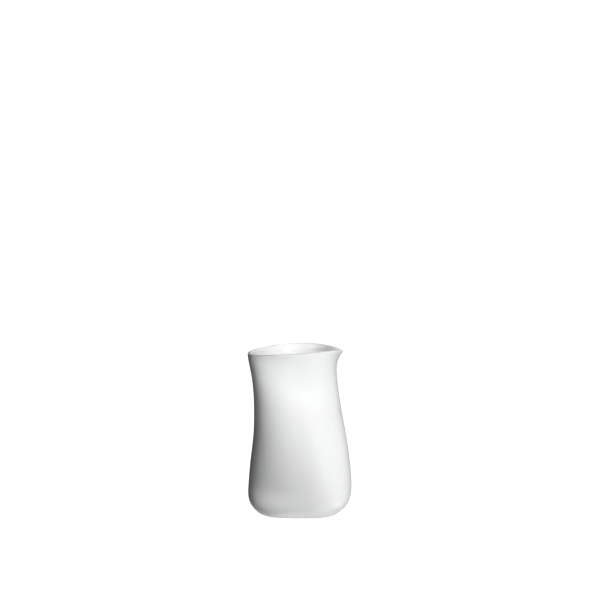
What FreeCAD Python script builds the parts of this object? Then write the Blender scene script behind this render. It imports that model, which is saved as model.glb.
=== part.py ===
"""Flower vase in white porcelain: a softly twisted body, a flared neck and a pulled pouring lip.

Row frame, in millimetres: +Z up, +X towards the pouring lip, the front of the vase faces -Y.
The origin is on the table, under the middle of the vase's bounding box.

Sub-parts: vase_wall (the side wall with its standing ring, neck and lip), base_slab (the floor
slab luted inside the ring) and inner_glaze (the glass-clear coat that holds the water).

The wall is one cubic B-spline skin. Its control rows are closed hoops, stacked up the outside,
over the lip and down the inside, so that the lip is as round as the wall is thick.
"""
import FreeCAD
import Part
import math
import os
from collections import namedtuple

Vector = FreeCAD.Vector

# ---- Overall sizes -------------------------------------------------------------------------
HEIGHT = 160.0             # table to the rim, at the front and at the back
BELLY_WIDTH = 101.1        # control hoop at the widest level, across X
BELLY_DEPTH = 94.0         # the same hoop, across Y, before it is slanted
RIM_WIDTH = 87.2           # control hoop at the rim, without the pouring lip
RIM_DEPTH = 84.6
NECK_WIDTH = 81.9          # control hoop of the neck, where the flare begins
NECK_DEPTH = 76.5
BELLY_SLANT = -0.32        # turns the belly's front towards -X: shift along Y per millimetre along X
NECK_SLANT = 0.18          # turns the neck's front the other way

# ---- Foot and floor ------------------------------------------------------------------------
FOOT_WIDTH = 66.8          # outer edge of the flat standing ring
FOOT_DEPTH = 60.3
FOOT_RING = 6.0            # width of the standing ring, to the joint with the floor slab
RING_BEVEL = 0.8           # bevel on the ring's inner edge
RECESS = 1.4               # the slab's underside stands this far off the table
SLAB = 4.2                 # thickness of the floor slab
HEEL_HEIGHT = 8.0          # level of the hoop that rounds the lower corner
BELLY_HEIGHT = 24.0        # level of the widest hoop

# ---- Wall, lip and glaze -------------------------------------------------------------------
WALL = 3.2                 # clay thickness of the wall and the lip
GLAZE = 0.4                # thickness of the fired glaze
GLAZE_ROW = 1.35           # where the glaze stops, in control rows inside the lip's crest

# ---- Pouring lip and rim line --------------------------------------------------------------
LIP_SPREAD = math.radians(33.0)   # half angle over which the rim runs out to the lip's tip
LIP_ROUND = math.radians(6.0)     # how far the tip is rounded off
LIP_DROP = 2.3             # the tip is this far below HEIGHT
BACK_DROP = 3.6            # the rim opposite the lip is this far below HEIGHT
FLARE_LENGTH = 20.0        # the neck's narrowest hoop is this far below the rim
LIP_LENGTH = 9.0           # the lip starts to leave the neck this far below the rim
LIP_EDGE = 1.5             # the last hoop of the outside is this far below the rim

# ---- Resolution of the skin ----------------------------------------------------------------
POINTS_AROUND = 48
CROWDING = 0.4             # moves hoop points towards the pouring lip, from 0 to under 1
POLE_PASSES = 24
GLAZE_SECTORS = 4          # faces round each side of the glaze

# lean is the hoop's middle along X. squareness 2 is an oval, and more is squarer. lip and drop
# are the shares of the pouring lip and of the rim's dips. pinch narrows the side of the lip, and
# slant carries that side along Y.
Hoop = namedtuple("Hoop", "height width lean depth squareness lip drop pinch slant")

RISE = HEIGHT - FLARE_LENGTH - BELLY_HEIGHT        # from the widest hoop to the neck's hoop


def outer_hoops():
    """Control hoops of the outside, from the standing ring up to just under the rim."""
    belly, neck = BELLY_HEIGHT, HEIGHT - FLARE_LENGTH
    heel, lower, middle = 0.78 * BELLY_SLANT, 0.62 * BELLY_SLANT, 0.2 * BELLY_SLANT
    upper, flare, rim = 0.22 * NECK_SLANT, 0.67 * NECK_SLANT, 0.45 * NECK_SLANT
    return [
        Hoop(0.0, FOOT_WIDTH, -0.9, FOOT_DEPTH, 2.8, 0.0, 0.0, 0.0, 0.0),
        Hoop(0.0, FOOT_WIDTH + 4.8, -2.5, FOOT_DEPTH + 8.8, 3.0, 0.0, 0.0, 0.0, 0.25 * BELLY_SLANT),
        Hoop(HEEL_HEIGHT, BELLY_WIDTH - 4.2, -2.5, BELLY_DEPTH - 3.0, 2.8, 0.0, 0.0, 0.0, heel),
        Hoop(belly, BELLY_WIDTH, 0.9, BELLY_DEPTH, 2.45, 0.0, 0.0, -0.03, BELLY_SLANT),
        Hoop(belly + 0.21 * RISE, BELLY_WIDTH - 3.6, 0.8, BELLY_DEPTH + 1.6, 2.35, 0.0, 0.0, -0.03, lower),
        Hoop(belly + 0.43 * RISE, BELLY_WIDTH - 10.8, 0.9, BELLY_DEPTH - 0.8, 2.5, 0.0, 0.0, -0.01, middle),
        Hoop(belly + 0.66 * RISE, NECK_WIDTH + 2.4, -1.5, NECK_DEPTH + 11.5, 2.5, 0.0, 0.05, 0.01, upper),
        Hoop(belly + 0.86 * RISE, NECK_WIDTH - 0.3, -3.5, NECK_DEPTH + 2.5, 2.7, 0.0, 0.2, 0.03, NECK_SLANT),
        Hoop(neck, NECK_WIDTH, -5.5, NECK_DEPTH, 2.6, 0.05, 0.5, 0.03, NECK_SLANT),
        Hoop(HEIGHT - LIP_LENGTH, RIM_WIDTH - 1.1, -6.0, RIM_DEPTH - 5.1, 2.3, 0.11, 0.8, 0.02, flare),
        Hoop(HEIGHT - LIP_EDGE, RIM_WIDTH, -6.3, RIM_DEPTH, 2.0, 1.0, 1.0, 0.0, rim),
    ]


def inset(hoop, amount, height):
    """The hoop made smaller by amount on every side, at another height."""
    return hoop._replace(height=height, width=hoop.width - 2 * amount, depth=hoop.depth - 2 * amount)


def inner_height(height, floor):
    """Squeezes the levels between the table and the belly in above the floor."""
    return height + floor * max(0.0, 1.0 - height / BELLY_HEIGHT)


def skin_hoops(coat):
    """Control rows of the whole skin: up the outside, over the lip and down the inside.

    coat thickens the inside only: 0 gives the clay, and GLAZE the glaze on it.
    """
    outside = outer_hoops()
    floor = RECESS + SLAB + coat
    crest = [outside[-1]._replace(height=HEIGHT), inset(outside[-1], WALL + coat, HEIGHT)]
    inside = [inset(hoop, WALL + coat, inner_height(hoop.height, floor)) for hoop in outside[:0:-1]]
    return outside + crest + inside + [inset(outside[0], FOOT_RING, floor)]


def hoop_points(hoop):
    """Points round a hoop: a superellipse, drawn out at +X into the pouring lip."""
    full_pull = 1 / math.cos(LIP_SPREAD - LIP_ROUND) - 1
    points = []
    for index in range(POINTS_AROUND):
        step = 2 * math.pi * index / POINTS_AROUND
        turn = step - CROWDING * math.sin(step)
        across, along = math.cos(turn), math.sin(turn)
        reach = (abs(across) ** hoop.squareness + abs(along) ** hoop.squareness) ** (-1 / hoop.squareness)
        from_tip = math.hypot(math.remainder(turn, 2 * math.pi), LIP_ROUND)
        pull = hoop.lip * (1 / math.cos(max(0.0, LIP_SPREAD - from_tip)) - 1)
        reach *= 1 + pull
        out = hoop.width / 2 * reach * across
        rim_line = BACK_DROP / 2 * (across - across ** 2)
        points.append(Vector(
            hoop.lean + out,
            hoop.depth / 2 * reach * along * (1 - hoop.pinch * across) + hoop.slant * out,
            hoop.height + hoop.drop * rim_line - LIP_DROP * pull / full_pull))
    return points


def ring_poles(points):
    """Poles of the closed cubic B-spline through the points, found by successive correction."""
    poles = list(points)
    count = len(points)
    for _ in range(POLE_PASSES):
        passing = [(poles[i - 1] + poles[i] * 4 + poles[(i + 1) % count]) / 6 for i in range(count)]
        poles = [pole + (point - now) * 1.5 for pole, point, now in zip(poles, points, passing)]
    return poles


def skin_surface(hoops):
    """The B-spline surface whose control rows are the hoops. U runs round, V runs along the rows."""
    rows = [ring_poles(hoop_points(hoop)) for hoop in hoops]
    columns = [list(column) for column in zip(*rows)]
    spans = len(rows) - 3
    around_knots = list(range(POINTS_AROUND + 1))
    row_knots = list(range(spans + 1))
    surface = Part.BSplineSurface()
    surface.buildFromPolesMultsKnots(
        columns, [1] * len(around_knots), [4] + [1] * (spans - 1) + [4],
        around_knots, row_knots, True, False, 3, 3)
    return surface


def ring_curve(hoop):
    """The closed curve of one hoop, the same one that a skin has where it starts or ends there."""
    curve = Part.BSplineCurve()
    knots = list(range(POINTS_AROUND + 1))
    curve.buildFromPolesMultsKnots(ring_poles(hoop_points(hoop)), [1] * len(knots), knots, True, 3)
    return curve.toShape()


def disc(edge):
    return Part.Face(Part.Wire(edge))


def closed_solid(faces):
    """Sews faces that share their borders into one solid."""
    shell = Part.makeShell(faces)
    shell.sewShape()
    solid = Part.makeSolid(shell)
    if solid.Volume < 0:
        solid.reverse()
    return solid


def joint_hoop(height):
    """Outline of the joint between the standing ring and the floor slab."""
    return inset(outer_hoops()[0], FOOT_RING, height)


def vase_wall(skin):
    """Side wall, lip and standing ring, in one piece of clay."""
    floor = RECESS + SLAB
    ring_outer = ring_curve(outer_hoops()[0])
    ring_inner = ring_curve(inset(outer_hoops()[0], FOOT_RING - RING_BEVEL, 0.0))
    bevel_top = ring_curve(joint_hoop(RING_BEVEL))
    standing_face = Part.Face([Part.Wire(ring_outer), Part.Wire(ring_inner).reversed()])
    bevel = Part.makeRuledSurface(ring_inner, bevel_top)
    joint = bevel_top.extrude(Vector(0, 0, floor - RING_BEVEL))
    return closed_solid([skin.toShape(), standing_face, bevel, joint])


def base_slab():
    """Floor slab, luted inside the standing ring and clear of the table."""
    return disc(ring_curve(joint_hoop(RECESS))).extrude(Vector(0, 0, SLAB))


def sectors():
    """Ranges of U that divide a skin into sectors round the vase."""
    step = POINTS_AROUND / GLAZE_SECTORS
    return [(index * step, (index + 1) * step) for index in range(GLAZE_SECTORS)]


def inner_glaze(skin, glazed_skin, crest):
    """The glaze: a thin cup between the clay's inside and the surface that the water wets."""
    coats = (skin, glazed_skin)
    start = crest + GLAZE_ROW
    end = skin.bounds()[3]
    faces = []
    for first, last in sectors():
        faces += [coat.toShape(first, last, start, end) for coat in coats]
        stop_line = [coat.vIso(start).toShape(first, last) for coat in coats]
        faces.append(Part.makeRuledSurface(*stop_line))
    for coat in coats:
        floor_line = [coat.vIso(end).toShape(first, last) for first, last in sectors()]
        faces.append(Part.Face(Part.Wire(floor_line)))
    return closed_solid(faces)


def main():
    os.makedirs("parts", exist_ok=True)
    skin = skin_surface(skin_hoops(0.0))
    glazed_skin = skin_surface(skin_hoops(GLAZE))
    crest = skin.bounds()[3] / 2
    nodes = {
        "vase_wall": vase_wall(skin),
        "base_slab": base_slab(),
        "inner_glaze": inner_glaze(skin, glazed_skin, crest),
    }
    box = nodes["vase_wall"].optimalBoundingBox(False)
    to_origin = Vector(-box.Center.x, -box.Center.y, 0.0)
    for name, shape in nodes.items():
        shape.translate(to_origin)
        shape.exportStep(os.path.join("parts", name + ".step"))
        print(name, shape.isValid(), len(shape.Solids), round(shape.Volume / 1000, 2), "cm3")


main()
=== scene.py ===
"""White porcelain flower vase in a plain studio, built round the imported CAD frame.

Pieces: vase_wall_clay (side wall, lip and standing ring), base_slab_clay (the recessed floor slab) and
inner_glaze_coat (the gloss coat inside). All three follow the same skin as the CAD: cubic B-spline rows
of control hoops, up the outside, over the lip and down the inside.
Lengths in the shape section are millimetres, and metres everywhere else.
"""
import math
from collections import namedtuple

import bpy
import numpy as np
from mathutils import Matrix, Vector


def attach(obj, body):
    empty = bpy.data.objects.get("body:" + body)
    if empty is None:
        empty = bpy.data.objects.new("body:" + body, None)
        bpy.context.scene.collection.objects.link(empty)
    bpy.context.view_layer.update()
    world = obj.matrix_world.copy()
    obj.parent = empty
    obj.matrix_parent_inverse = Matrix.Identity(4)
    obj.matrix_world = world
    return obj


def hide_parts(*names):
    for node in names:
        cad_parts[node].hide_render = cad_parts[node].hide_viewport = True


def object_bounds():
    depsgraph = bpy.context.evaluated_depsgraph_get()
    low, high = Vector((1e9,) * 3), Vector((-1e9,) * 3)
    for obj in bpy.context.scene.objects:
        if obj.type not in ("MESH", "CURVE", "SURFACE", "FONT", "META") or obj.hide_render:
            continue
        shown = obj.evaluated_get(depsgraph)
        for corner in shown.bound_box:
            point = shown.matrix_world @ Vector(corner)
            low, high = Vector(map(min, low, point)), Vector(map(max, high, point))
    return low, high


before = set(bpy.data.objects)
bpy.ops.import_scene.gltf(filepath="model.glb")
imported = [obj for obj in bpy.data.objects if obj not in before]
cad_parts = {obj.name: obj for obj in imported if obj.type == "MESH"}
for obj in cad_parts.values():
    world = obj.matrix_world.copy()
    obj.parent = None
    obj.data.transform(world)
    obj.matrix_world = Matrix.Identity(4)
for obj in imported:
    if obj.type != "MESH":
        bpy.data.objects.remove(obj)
cad_low, cad_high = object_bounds()

MM = 0.001                  # metres in a millimetre

# ---- Shape, in millimetres -------------------------------------------------------------------
HEIGHT = 160.0
BELLY_WIDTH, BELLY_DEPTH, BELLY_HEIGHT = 101.1, 94.0, 24.0
RIM_WIDTH, RIM_DEPTH = 87.2, 84.6
NECK_WIDTH, NECK_DEPTH = 81.9, 76.5
BELLY_SLANT, NECK_SLANT = -0.32, 0.18
FOOT_WIDTH, FOOT_DEPTH = 66.8, 60.3
FOOT_RING, RING_BEVEL = 6.0, 0.8
RECESS, SLAB = 1.4, 4.2
HEEL_HEIGHT = 8.0
WALL, GLAZE = 3.2, 0.4
GLAZE_ROW = 1.35
LIP_SPREAD, LIP_ROUND = math.radians(33.0), math.radians(6.0)
LIP_DROP, BACK_DROP = 2.3, 3.6
FLARE_LENGTH, LIP_LENGTH, LIP_EDGE = 20.0, 9.0, 1.5
RISE = HEIGHT - FLARE_LENGTH - BELLY_HEIGHT

# ---- Mesh resolution -------------------------------------------------------------------------
AROUND = 320                # columns round the vase
CROWDING = 0.3              # how much closer the columns lie at the pouring lip
ROWS_PER_SPAN = 12
LIP_ROWS_PER_SPAN = 10
INNER_ROWS_PER_SPAN = 4
GLAZE_ROWS_PER_SPAN = 22
FLOOR_ROWS = 60

Hoop = namedtuple("Hoop", "height width lean depth squareness lip drop pinch slant")


def outer_hoops():
    """Control hoops of the outside, from the standing ring up to just under the rim."""
    belly, neck = BELLY_HEIGHT, HEIGHT - FLARE_LENGTH
    heel, lower, middle = 0.78 * BELLY_SLANT, 0.62 * BELLY_SLANT, 0.2 * BELLY_SLANT
    upper, flare, rim = 0.22 * NECK_SLANT, 0.67 * NECK_SLANT, 0.45 * NECK_SLANT
    return [
        Hoop(0.0, FOOT_WIDTH, -0.9, FOOT_DEPTH, 2.8, 0.0, 0.0, 0.0, 0.0),
        Hoop(0.0, FOOT_WIDTH + 4.8, -2.5, FOOT_DEPTH + 8.8, 3.0, 0.0, 0.0, 0.0, 0.25 * BELLY_SLANT),
        Hoop(HEEL_HEIGHT, BELLY_WIDTH - 4.2, -2.5, BELLY_DEPTH - 3.0, 2.8, 0.0, 0.0, 0.0, heel),
        Hoop(belly, BELLY_WIDTH, 0.9, BELLY_DEPTH, 2.45, 0.0, 0.0, -0.03, BELLY_SLANT),
        Hoop(belly + 0.21 * RISE, BELLY_WIDTH - 3.6, 0.8, BELLY_DEPTH + 1.6, 2.35, 0.0, 0.0, -0.03, lower),
        Hoop(belly + 0.43 * RISE, BELLY_WIDTH - 10.8, 0.9, BELLY_DEPTH - 0.8, 2.5, 0.0, 0.0, -0.01, middle),
        Hoop(belly + 0.66 * RISE, NECK_WIDTH + 2.4, -1.5, NECK_DEPTH + 11.5, 2.5, 0.0, 0.05, 0.01, upper),
        Hoop(belly + 0.86 * RISE, NECK_WIDTH - 0.3, -3.5, NECK_DEPTH + 2.5, 2.7, 0.0, 0.2, 0.03, NECK_SLANT),
        Hoop(neck, NECK_WIDTH, -5.5, NECK_DEPTH, 2.6, 0.05, 0.5, 0.03, NECK_SLANT),
        Hoop(HEIGHT - LIP_LENGTH, RIM_WIDTH - 1.1, -6.0, RIM_DEPTH - 5.1, 2.3, 0.11, 0.8, 0.02, flare),
        Hoop(HEIGHT - LIP_EDGE, RIM_WIDTH, -6.3, RIM_DEPTH, 2.0, 1.0, 1.0, 0.0, rim),
    ]


def inset(hoop, amount, height):
    """The hoop made smaller by amount on every side, at another height."""
    return hoop._replace(height=height, width=hoop.width - 2 * amount, depth=hoop.depth - 2 * amount)


def inner_height(height, floor):
    """Height on the inside of what is at this height outside: the floor lifts the lower hoops."""
    return height + floor * max(0.0, 1.0 - height / BELLY_HEIGHT)


def skin_hoops(coat):
    """Control rows of the whole skin. coat is what covers the clay on the inside: nothing, or GLAZE."""
    outside = outer_hoops()
    floor = RECESS + SLAB + coat
    crest = [outside[-1]._replace(height=HEIGHT), inset(outside[-1], WALL + coat, HEIGHT)]
    inside = [inset(hoop, WALL + coat, inner_height(hoop.height, floor)) for hoop in outside[:0:-1]]
    return outside + crest + inside + [inset(outside[0], FOOT_RING, floor)]


def turns():
    """Angles of the mesh columns round the vase, closer together at the pouring lip."""
    step = 2 * math.pi * np.arange(AROUND) / AROUND
    return step - CROWDING * np.sin(step)


def hoop_points(hoop):
    """Points round a hoop: a superellipse, drawn out at +X into the pouring lip."""
    turn = turns()
    across, along = np.cos(turn), np.sin(turn)
    power = hoop.squareness
    reach = (np.abs(across) ** power + np.abs(along) ** power) ** (-1 / power)
    from_tip = np.hypot((turn + math.pi) % (2 * math.pi) - math.pi, LIP_ROUND)
    full_pull = 1 / math.cos(LIP_SPREAD - LIP_ROUND) - 1
    pull = hoop.lip * (1 / np.cos(np.maximum(0.0, LIP_SPREAD - from_tip)) - 1)
    reach = reach * (1 + pull)
    out = hoop.width / 2 * reach * across
    rim_line = BACK_DROP / 2 * (across - across ** 2)
    return np.stack([
        hoop.lean + out,
        hoop.depth / 2 * reach * along * (1 - hoop.pinch * across) + hoop.slant * out,
        hoop.height + hoop.drop * rim_line - LIP_DROP * pull / full_pull], axis=-1)


def spline_weights(count, places):
    """Weights of the control rows of a clamped uniform cubic B-spline, at these places along it."""
    knots = np.concatenate([[0.0] * 3, np.arange(count - 2), [count - 3.0] * 3])
    places = np.minimum(places, count - 3 - 1e-9)
    weights = ((places[:, None] >= knots[:-1]) & (places[:, None] < knots[1:])).astype(float)
    for degree in range(1, 4):
        spans = len(knots) - 1 - degree
        rise = knots[degree:degree + spans] - knots[:spans]
        fall = knots[degree + 1:degree + 1 + spans] - knots[1:1 + spans]
        up = (places[:, None] - knots[:spans]) / np.where(rise > 0, rise, 1)
        up = up * (rise > 0)
        down = (knots[degree + 1:degree + 1 + spans] - places[:, None]) / np.where(fall > 0, fall, 1)
        down = down * (fall > 0)
        weights = up * weights[:, :-1] + down * weights[:, 1:]
    return weights


def skin_rows(coat, places):
    """Rows of points on the skin, at these places along its control rows."""
    hoops = np.stack([hoop_points(hoop) for hoop in skin_hoops(coat)])
    return np.einsum("rh,hup->rup", spline_weights(len(hoops), places), hoops)


SPANS = len(skin_hoops(0.0)) - 3
CREST = SPANS / 2
GLAZE_START = CREST + GLAZE_ROW


# ---- Surface relief --------------------------------------------------------------------------
SOFT_RELIEF = 0.30          # depth of the slow unevenness
FINE_RELIEF = 0.05          # depth of the small unevenness

# Shallow presses of the maker's hand, on the neck and above the heel: middle, size and depth.
PRESSES = [
    ((8, -40, 126), (16, 30, 14), 0.9),
    ((-22, -45, 25), (18, 30, 10), 0.7),
]


def waves(points, seed, longest, shortest, count):
    """Smooth random relief from -1 to 1 at these points: plane waves in many directions."""
    chance = np.random.default_rng(seed)
    directions = chance.normal(size=(count, 3))
    directions /= np.linalg.norm(directions, axis=1, keepdims=True)
    lengths = np.geomspace(longest, shortest, count)
    phases = chance.uniform(0, 2 * math.pi, count)
    weights = lengths / lengths.sum()
    relief = np.zeros(points.shape[:-1])
    for direction, length, phase, weight in zip(directions, lengths, phases, weights):
        relief += weight * np.cos(points @ direction * (2 * math.pi / length) + phase)
    return np.clip(relief * 1.8, -1, 1)


def outward(rows):
    """Unit normals of closed rows of points that run up the outside of the skin."""
    along = np.gradient(rows, axis=0)
    around = np.roll(rows, -1, axis=1) - np.roll(rows, 1, axis=1)
    normals = np.cross(around, along)
    return normals / np.maximum(np.linalg.norm(normals, axis=-1, keepdims=True), 1e-9)


def dent(points, middle, size, depth):
    """A shallow round press into the clay."""
    away = (points - np.array(middle)) / np.array(size)
    return depth * np.exp(-(away ** 2).sum(axis=-1))


def handmade(rows, seed):
    """Sinks the outside a little, unevenly, as a hand-finished mould cast is."""
    soft = 0.5 + 0.5 * waves(rows, seed, 70.0, 24.0, 14)
    fine = 0.5 + 0.5 * waves(rows, seed + 1, 14.0, 5.0, 24)
    sink = SOFT_RELIEF * soft + FINE_RELIEF * fine
    sink += sum(dent(rows, *press) for press in PRESSES)
    return rows - outward(rows) * sink[..., None]


# ---- Mesh helpers ----------------------------------------------------------------------------
def tube(name, rows, wrap=False, middles=(None, None)):
    """A piece whose faces join closed rows of points, in millimetres. wrap joins the last row to the
    first. middles are points that close the first and the last row with a fan.
    """
    count, around = rows.shape[:2]
    points = [tuple(point) for point in rows.reshape(-1, 3) * MM]
    faces = []
    for row in range(count if wrap else count - 1):
        below, above = row * around, (row + 1) % count * around
        for column in range(around):
            after = (column + 1) % around
            faces.append((below + column, below + after, above + after, above + column))
    for row, middle in zip((0, count - 1), middles):
        if middle is None:
            continue
        points.append(tuple(np.asarray(middle) * MM))
        centre = len(points) - 1
        for column in range(around):
            edge = (row * around + (column + 1) % around, row * around + column)
            faces.append((*(edge if row == 0 else edge[::-1]), centre))
    mesh = bpy.data.meshes.new(name)
    mesh.from_pydata(points, [], faces)
    mesh.validate()
    mesh.shade_smooth()
    piece = bpy.data.objects.new(name, mesh)
    bpy.context.scene.collection.objects.link(piece)
    return piece


def joint_row(amount, height):
    """The foot's outline made smaller by amount, at this height."""
    return hoop_points(inset(outer_hoops()[0], amount, height))


def towards_middle(outline, middle, shares):
    """Rows that shrink from an outline to its middle."""
    return middle + (outline - middle) * np.asarray(shares)[:, None, None]


# ---- The three pieces ------------------------------------------------------------------------
def wall_piece(shift):
    """Side wall with its lip and standing ring, closed all round. Its points carry the mask of the painted
    shade along the rim.
    """
    body_places = np.arange(0, CREST - 2, 1 / ROWS_PER_SPAN)
    lip_places = np.arange(CREST - 2, CREST + 2, 1 / LIP_ROWS_PER_SPAN)
    places = np.concatenate([body_places, lip_places])
    cast = skin_rows(0.0, places)
    unevenness = np.clip(places / 0.8, 0, 1) * np.clip((CREST - 0.4 - places) / 1.2, 0, 1)
    outside = cast + (handmade(cast, 5) - cast) * unevenness[:, None, None]
    inner = skin_rows(0.0, np.append(np.arange(CREST + 2, SPANS, 1 / INNER_ROWS_PER_SPAN), SPANS))
    edge, floor = FOOT_RING - RING_BEVEL, RECESS + SLAB
    under = [
        joint_row(FOOT_RING, floor / 2),
        joint_row(FOOT_RING, RING_BEVEL + 0.25),
        joint_row(FOOT_RING, RING_BEVEL),
        joint_row(FOOT_RING - 0.10, RING_BEVEL - 0.19),
        joint_row(FOOT_RING - 0.26, RING_BEVEL - 0.40),
        joint_row(FOOT_RING - 0.48, RING_BEVEL - 0.58),
        joint_row(edge + 0.10, 0.06),
        joint_row(edge, 0.0),
        joint_row(edge - 0.4, 0.0),
        joint_row(FOOT_RING / 2, 0.0),
        joint_row(0.5, 0.0)]
    rows = np.concatenate([outside, inner, under])
    piece = tube("vase_wall_clay", rows + shift, wrap=True)
    # Mask of the painted shade along the rim: one at the crest of the lip, falling to nothing about a span
    # to either side.
    rim_shade_share = np.zeros(rows.shape[:2])
    rim_shade_share[:len(outside)] = np.clip(1 - (np.abs(places - CREST + 0.20) / 0.95) ** 4, 0, 1)[:, None]
    painted_rim_shade = piece.data.attributes.new("painted_rim_shade", "FLOAT", "POINT")
    painted_rim_shade.data.foreach_set("value", rim_shade_share.ravel())
    return piece


def slab_piece(shift):
    """Floor slab: trimmed flat underneath, with the slip of its joint squeezed out round the edge."""
    middle = np.array([outer_hoops()[0].lean, 0.0, RECESS])
    shares = np.concatenate([np.linspace(0.03, 0.9, 64), np.linspace(0.905, 1.0, 28)])
    under = towards_middle(joint_row(FOOT_RING, RECESS), middle, shares)
    reach = np.linalg.norm(under - middle, axis=-1)
    from_edge = np.linalg.norm(under[-1] - middle, axis=-1) - reach
    angle = np.arctan2(under[..., 1], under[..., 0] - middle[0])
    uneven = waves(under, 11, 22.0, 4.0, 12)
    bead = (0.20 + 0.10 * uneven) * np.exp(-((from_edge - 0.55) / (0.42 + 0.08 * uneven)) ** 2)
    tooling = 0.030 * np.cos(reach * (2 * math.pi / 2.3) - angle) * np.clip(reach / 4, 0, 1)
    under[..., 2] += 0.22 * np.clip(1 - reach / reach.max(), 0, 1) + tooling - bead + 0.03 * uneven
    side = np.stack([joint_row(FOOT_RING, height) for height in (RECESS + 0.6, RECESS + SLAB)])
    top = middle + np.array([0.0, 0.0, SLAB])
    rows = np.concatenate([under, side, towards_middle(side[-1], top, (0.75, 0.5, 0.25))])
    return tube("base_slab_clay", rows + shift, middles=(middle + (0, 0, 0.22) + shift, top + shift))


def glaze_piece(shift):
    """The glaze coat, closed all round, with a rolled edge under the lip and rings down the inside."""
    places = np.append(np.arange(GLAZE_START, SPANS, 1 / GLAZE_ROWS_PER_SPAN), SPANS)
    clay, glazed = skin_rows(0.0, places), skin_rows(GLAZE, places)
    middle = np.array([outer_hoops()[0].lean, 0.0, RECESS + SLAB])
    shares = np.linspace(1.0, 0.0, FLOOR_ROWS, endpoint=False)[1:]
    clay = np.concatenate([clay, towards_middle(clay[-1], middle, shares)])
    top = middle + np.array([0.0, 0.0, GLAZE])
    glazed = np.concatenate([glazed, towards_middle(glazed[-1], top, shares)])
    from_start = np.concatenate([places - GLAZE_START, np.full(len(shares), 99.0)])[:, None]
    wander = 0.5 + 0.5 * waves(clay, 21, 40.0, 9.0, 12)
    rolled = np.clip((from_start - 0.16 * wander) / 0.12, 0, 1)
    rolled = np.sqrt(1 - (1 - rolled) ** 2)
    height = clay[..., 2]
    reach = np.linalg.norm(clay[..., :2] - middle[:2], axis=-1)
    angle = np.arctan2(clay[..., 1], clay[..., 0] - middle[0])
    drift = waves(clay, 22, 60.0, 18.0, 12)
    turned = height * (2 * math.pi / 5.2) + angle + 0.9 * drift
    floor_turned = reach * (2 * math.pi / 4.4) + angle + 0.6 * drift
    on_floor = np.clip((9.0 - height) / 3.0, 0, 1)
    rings = (1 - on_floor) * np.cos(turned) + on_floor * np.cos(floor_turned) * np.clip(reach / 5, 0, 1)
    soft = waves(clay, 23, 30.0, 8.0, 16)
    thickness = rolled * (0.72 + 0.16 * rings + 0.10 * soft)
    wetted = clay + (glazed - clay) * thickness[..., None]
    back = clay + (glazed - clay) * -0.12
    rows = np.concatenate([back[::-1], wetted])
    centre = middle + np.array([0.0, 0.0, -0.12 * GLAZE])
    return tube("inner_glaze_coat", rows + shift, middles=(centre + shift, top - (0, 0, 0.1) + shift))


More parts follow.
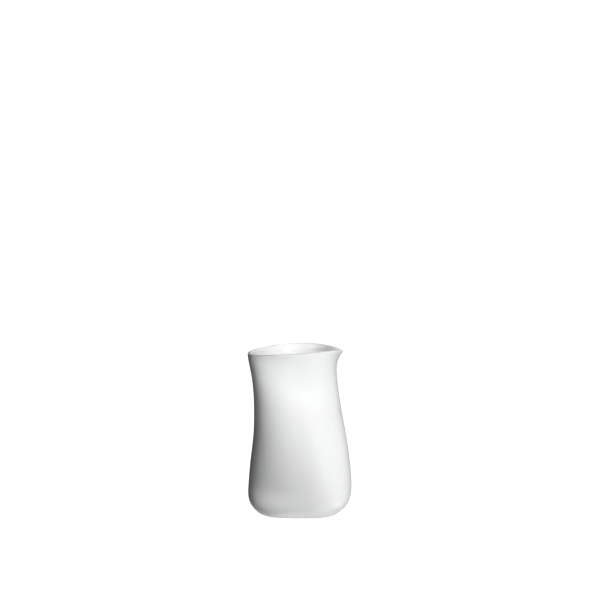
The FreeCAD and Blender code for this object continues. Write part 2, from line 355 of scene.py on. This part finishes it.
# ---- Materials -------------------------------------------------------------------------------
class Nodes:
    """Short ways to wire up a procedural material. Lengths are in metres, in object coordinates."""

    def __init__(self, name):
        self.material = bpy.data.materials.new(name)
        self.material.use_nodes = True
        self.tree = self.material.node_tree
        self.shader = self.tree.nodes["Principled BSDF"]
        self.place = self.tree.nodes.new("ShaderNodeTexCoord").outputs["Object"]

    def put(self, value, socket):
        if isinstance(value, bpy.types.NodeSocket):
            self.tree.links.new(value, socket)
        else:
            socket.default_value = value

    def math(self, operation, first, second=0.0, third=0.0):
        node = self.tree.nodes.new("ShaderNodeMath")
        node.operation = operation
        for value, socket in zip((first, second, third), node.inputs):
            self.put(value, socket)
        return node.outputs[0]

    def stretched(self, scale):
        node = self.tree.nodes.new("ShaderNodeMapping")
        node.inputs["Scale"].default_value = scale
        self.put(self.place, node.inputs["Vector"])
        return node.outputs[0]

    def noise(self, size, detail=3.0, rough=0.5, vector=None):
        """Noise with features about this size across."""
        node = self.tree.nodes.new("ShaderNodeTexNoise")
        node.inputs["Scale"].default_value = 1 / size
        node.inputs["Detail"].default_value = detail
        node.inputs["Roughness"].default_value = rough
        self.put(vector or self.place, node.inputs["Vector"])
        return node.outputs["Fac"]

    def ramp(self, value, low, high, start=0.0, end=1.0):
        """Goes smoothly from start to end while value goes from low to high."""
        node = self.tree.nodes.new("ShaderNodeMapRange")
        node.interpolation_type = "SMOOTHSTEP"
        for setting, socket in zip((value, low, high, start, end), node.inputs):
            self.put(setting, socket)
        return node.outputs[0]

    def specks(self, spacing, radius, share):
        """One where there is a speck: at most one in each cell, and only in this share of the cells."""
        node = self.tree.nodes.new("ShaderNodeTexVoronoi")
        node.inputs["Scale"].default_value = 1 / spacing
        self.put(self.place, node.inputs["Vector"])
        split = self.tree.nodes.new("ShaderNodeSeparateColor")
        self.put(node.outputs["Color"], split.inputs["Color"])
        size = self.math("MULTIPLY_ADD", split.outputs[1], 0.7 * radius / spacing, 0.3 * radius / spacing)
        near = self.math("SUBTRACT", size, node.outputs["Distance"])
        dot = self.ramp(near, 0.0, 0.25 * radius / spacing)
        kept = self.math("LESS_THAN", split.outputs[0], share)
        return self.math("MULTIPLY", dot, kept)

    def attribute(self, name):
        """A number that the mesh carries at each of its points."""
        node = self.tree.nodes.new("ShaderNodeAttribute")
        node.attribute_name = name
        return node.outputs["Fac"]

    def along(self, axis):
        """The place along this axis of the object."""
        split = self.tree.nodes.new("ShaderNodeSeparateXYZ")
        self.put(self.place, split.inputs[0])
        return split.outputs[axis]

    def mix(self, share, first, second):
        node = self.tree.nodes.new("ShaderNodeMix")
        node.data_type = "RGBA"
        self.put(share, node.inputs["Factor"])
        for value, name in ((first, "A"), (second, "B")):
            socket = [each for each in node.inputs if each.name == name and each.type == "RGBA"][0]
            self.put(value, socket)
        return [each for each in node.outputs if each.type == "RGBA"][0]

    def bump(self, height, distance, below=None, strength=1.0):
        node = self.tree.nodes.new("ShaderNodeBump")
        node.inputs["Strength"].default_value = strength
        node.inputs["Distance"].default_value = distance
        self.put(height, node.inputs["Height"])
        if below:
            self.put(below, node.inputs["Normal"])
        return node.outputs[0]

    def finish(self, color, roughness, normal, **settings):
        self.put(color, self.shader.inputs["Base Color"])
        self.put(roughness, self.shader.inputs["Roughness"])
        self.put(normal, self.shader.inputs["Normal"])
        for name, value in settings.items():
            self.put(value, self.shader.inputs[name.replace("_", " ")])
        return self.material


WHITE_CLAY = (0.835, 0.848, 0.843, 1)
WARM_CLAY = (0.800, 0.806, 0.790, 1)
GREY_CLAY = (0.60, 0.60, 0.585, 1)
# painted shade: the grey laid along the crest of the lip
RIM_SHADE_GREY = (0.47, 0.475, 0.47, 1)
IRON = (0.16, 0.13, 0.10, 1)


def satin_porcelain():
    """Bare porcelain, rubbed to a satin: cool white, with faint clouds and specks, painted shade along the
    rim and just above the table, and a rougher foot.
    """
    nodes = Nodes("satin_porcelain")
    clouds = nodes.noise(0.030, 3.0, 0.55)
    color = nodes.mix(nodes.ramp(clouds, 0.42, 0.72, 0.0, 0.45), WHITE_CLAY, WARM_CLAY)
    # Painted shade where the vase meets the table: the clay goes greyer, in blotches, within 3.5 mm of it.
    # The same foot mask also makes the foot rougher below.
    near_table = nodes.ramp(nodes.along("Z"), 0.0035, 0.0002)
    foot = nodes.math("MULTIPLY", near_table, nodes.noise(0.003, 4.0, 0.6))
    color = nodes.mix(nodes.math("MULTIPLY", foot, 0.8), color, GREY_CLAY)
    # Painted shade along the rim: grey in patches at the crest of the lip, fading out towards the pouring
    # lip at +X.
    rim_shade_patches = nodes.ramp(nodes.noise(0.016, 3.0, 0.6), 0.35, 0.6, 0.55, 1.0)
    rim = nodes.math("MULTIPLY", nodes.attribute("painted_rim_shade"), rim_shade_patches)
    rim = nodes.math("MULTIPLY", rim, nodes.ramp(nodes.along("X"), 0.030, 0.002))
    color = nodes.mix(nodes.math("MULTIPLY", rim, 0.9), color, RIM_SHADE_GREY)
    iron = nodes.math("MAXIMUM", nodes.specks(0.017, 0.00032, 0.30), nodes.specks(0.006, 0.00014, 0.22))
    color = nodes.mix(nodes.math("MULTIPLY", iron, 0.55), color, IRON)
    rubbed = nodes.noise(0.018, 4.0, 0.6)
    roughness = nodes.ramp(rubbed, 0.3, 0.7, 0.40, 0.52)
    roughness = nodes.math("ADD", roughness, nodes.math("MULTIPLY", foot, 0.25))
    strokes = nodes.noise(0.0011, 3.0, 0.5, nodes.stretched((1.0, 1.0, 0.16)))
    grain = nodes.bump(nodes.noise(0.00035, 2.0, 0.6), 0.000012)
    grain = nodes.bump(strokes, 0.00001, grain)
    grain = nodes.bump(nodes.noise(0.0042, 3.0, 0.5), 0.00005, grain)
    return nodes.finish(
        color, roughness, grain, Specular_IOR_Level=0.42, Subsurface_Weight=0.12, Subsurface_Scale=0.0012,
        Subsurface_Radius=(1.0, 1.0, 1.0))


def bare_base():
    """The underside of the floor: the same clay left from the trimming tool, matt and a little stained."""
    nodes = Nodes("bare_base")
    clouds = nodes.noise(0.012, 4.0, 0.6)
    color = nodes.mix(nodes.ramp(clouds, 0.35, 0.75, 0.0, 0.8), WHITE_CLAY, WARM_CLAY)
    color = nodes.mix(nodes.ramp(nodes.noise(0.004, 3.0, 0.7), 0.62, 0.8, 0.0, 0.25), color, GREY_CLAY)
    color = nodes.mix(nodes.math("MULTIPLY", nodes.specks(0.006, 0.0002, 0.3), 0.6), color, IRON)
    roughness = nodes.ramp(clouds, 0.3, 0.7, 0.62, 0.8)
    grain = nodes.bump(nodes.noise(0.0004, 3.0, 0.7), 0.00003)
    grain = nodes.bump(nodes.noise(0.002, 3.0, 0.6), 0.00006, grain)
    return nodes.finish(color, roughness, grain, Specular_IOR_Level=0.35)


def clear_glaze():
    """Clear gloss glaze over the white clay: slightly cooler where it is thick, with a few pinholes."""
    nodes = Nodes("clear_glaze_on_porcelain")
    clouds = nodes.noise(0.022, 3.0, 0.5)
    deep = nodes.ramp(nodes.along("Z"), 0.016, 0.006)
    tint = nodes.math("ADD", nodes.ramp(clouds, 0.35, 0.75, 0.0, 0.35), nodes.math("MULTIPLY", deep, 0.6))
    color = nodes.mix(tint, (0.865, 0.872, 0.862, 1), (0.79, 0.83, 0.825, 1))
    pinholes = nodes.specks(0.009, 0.00022, 0.35)
    color = nodes.mix(nodes.math("MULTIPLY", pinholes, 0.35), color, GREY_CLAY)
    roughness = nodes.ramp(nodes.noise(0.014, 4.0, 0.6), 0.3, 0.75, 0.07, 0.16)
    grain = nodes.bump(nodes.math("SUBTRACT", 1.0, pinholes), 0.00006)
    grain = nodes.bump(nodes.noise(0.0035, 2.0, 0.4), 0.00004, grain)
    return nodes.finish(color, roughness, grain, Specular_IOR_Level=0.5)


# ---- Stage -----------------------------------------------------------------------------------
def white_sheet(name, corners, glow, shade):
    """A plain white surface of the studio. Only the camera sees it, so that it adds no light of its own."""
    mesh = bpy.data.meshes.new(name)
    mesh.from_pydata(corners, [], [(0, 1, 2, 3)])
    sheet = bpy.data.objects.new(name, mesh)
    bpy.context.scene.collection.objects.link(sheet)
    nodes = Nodes(name)
    nodes.shader.inputs["Base Color"].default_value = (shade, shade, shade, 1)
    nodes.shader.inputs["Specular IOR Level"].default_value = 0.0
    nodes.shader.inputs["Roughness"].default_value = 1.0
    nodes.shader.inputs["Emission Color"].default_value = (1, 1, 1, 1)
    nodes.shader.inputs["Emission Strength"].default_value = glow
    mesh.materials.append(nodes.material)
    sheet.visible_diffuse = False
    sheet.visible_glossy = False
    sheet.visible_shadow = False


def add_stage():
    white_sheet("floor", [(-9, -9, 0), (9, -9, 0), (9, 9, 0), (-9, 9, 0)], 1.2, 0.1)
    white_sheet("backdrop", [(-9, 8.9, -1), (9, 8.9, -1), (9, 8.9, 8), (-9, 8.9, 8)], 1.2, 0.1)


CAMERA_DISTANCE = 2.5
CAMERA_ELEVATION = math.radians(9.0)
CAMERA_TILT = math.radians(2.891)
CAMERA_ASIDE = 0.0004       # the camera stands a hair to the right of the vase's middle
CAMERA_LENS = 155.4


def add_camera():
    camera = bpy.data.objects.new("camera", bpy.data.cameras.new("camera"))
    camera.data.lens = CAMERA_LENS
    camera.data.sensor_width = 36.0
    aim = HEIGHT / 2 * MM
    camera.location = (
        CAMERA_ASIDE,
        -CAMERA_DISTANCE * math.cos(CAMERA_ELEVATION),
        aim + CAMERA_DISTANCE * math.sin(CAMERA_ELEVATION))
    camera.rotation_euler = (math.pi / 2 - CAMERA_ELEVATION + CAMERA_TILT, 0.0, 0.0)
    camera.data.clip_end = 50.0
    bpy.context.scene.collection.objects.link(camera)
    bpy.context.scene.camera = camera


# Name, degrees round from +X, degrees up, distance, size across and up, power in watts.
LIGHTS = [
    ("key", -70, 48, 1.6, (0.4, 0.4), 22.1),
    ("low_key", -70, 12, 1.6, (0.4, 0.4), 4.6),
    ("second", -75, 35, 1.6, (0.5, 0.5), 2.0),
    ("left", -135, 10, 1.6, (0.5, 0.5), 2.4),
    ("under_right", -10, -45, 1.4, (0.6, 0.6), 9.1),
    ("under", -90, -80, 1.2, (0.8, 0.8), 7.2),
    ("right_edge", 25, 5, 1.6, (0.5, 0.5), 1.6),
    ("top", 90, 88, 1.5, (0.7, 0.7), 1.2),
]
AMBIENT = 0.0


def add_lights():
    aim = Vector((0, 0, HEIGHT / 2 * MM))
    for name, around, up, distance, size, power in LIGHTS:
        data = bpy.data.lights.new(name, "AREA")
        data.shape = "RECTANGLE"
        data.size, data.size_y = size
        data.energy = power
        light = bpy.data.objects.new(name, data)
        around, up = math.radians(around), math.radians(up)
        way = Vector((math.cos(up) * math.cos(around), math.cos(up) * math.sin(around), math.sin(up)))
        light.location = aim + way * distance
        light.rotation_euler = (-way).to_track_quat("-Z", "Y").to_euler()
        bpy.context.scene.collection.objects.link(light)
    world = bpy.data.worlds.new("studio")
    world.use_nodes = True
    background = world.node_tree.nodes["Background"]
    background.inputs["Color"].default_value = (1, 1, 1, 1)
    background.inputs["Strength"].default_value = AMBIENT
    bpy.context.scene.world = world


def main():
    skin = skin_rows(0.0, np.linspace(0, SPANS, 600))
    low, high = skin.min(axis=(0, 1)), skin.max(axis=(0, 1))
    cad_middle = (cad_low + cad_high) / 2 / MM
    shift = np.array([cad_middle.x - (low[0] + high[0]) / 2, cad_middle.y - (low[1] + high[1]) / 2, 0.0])
    clay = satin_porcelain()
    pieces = [
        (wall_piece(shift), "vase_wall", "porcelain_body", clay),
        (slab_piece(shift), "base_slab", "porcelain_base", bare_base()),
        (glaze_piece(shift), "inner_glaze", "clear_glaze", clear_glaze()),
    ]
    for piece, node, slot, material in pieces:
        piece.data.materials.append(material)
        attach(piece, "root")
        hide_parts(node)
    add_stage()
    add_camera()
    add_lights()
    bpy.context.scene.view_settings.view_transform = "Standard"


main()
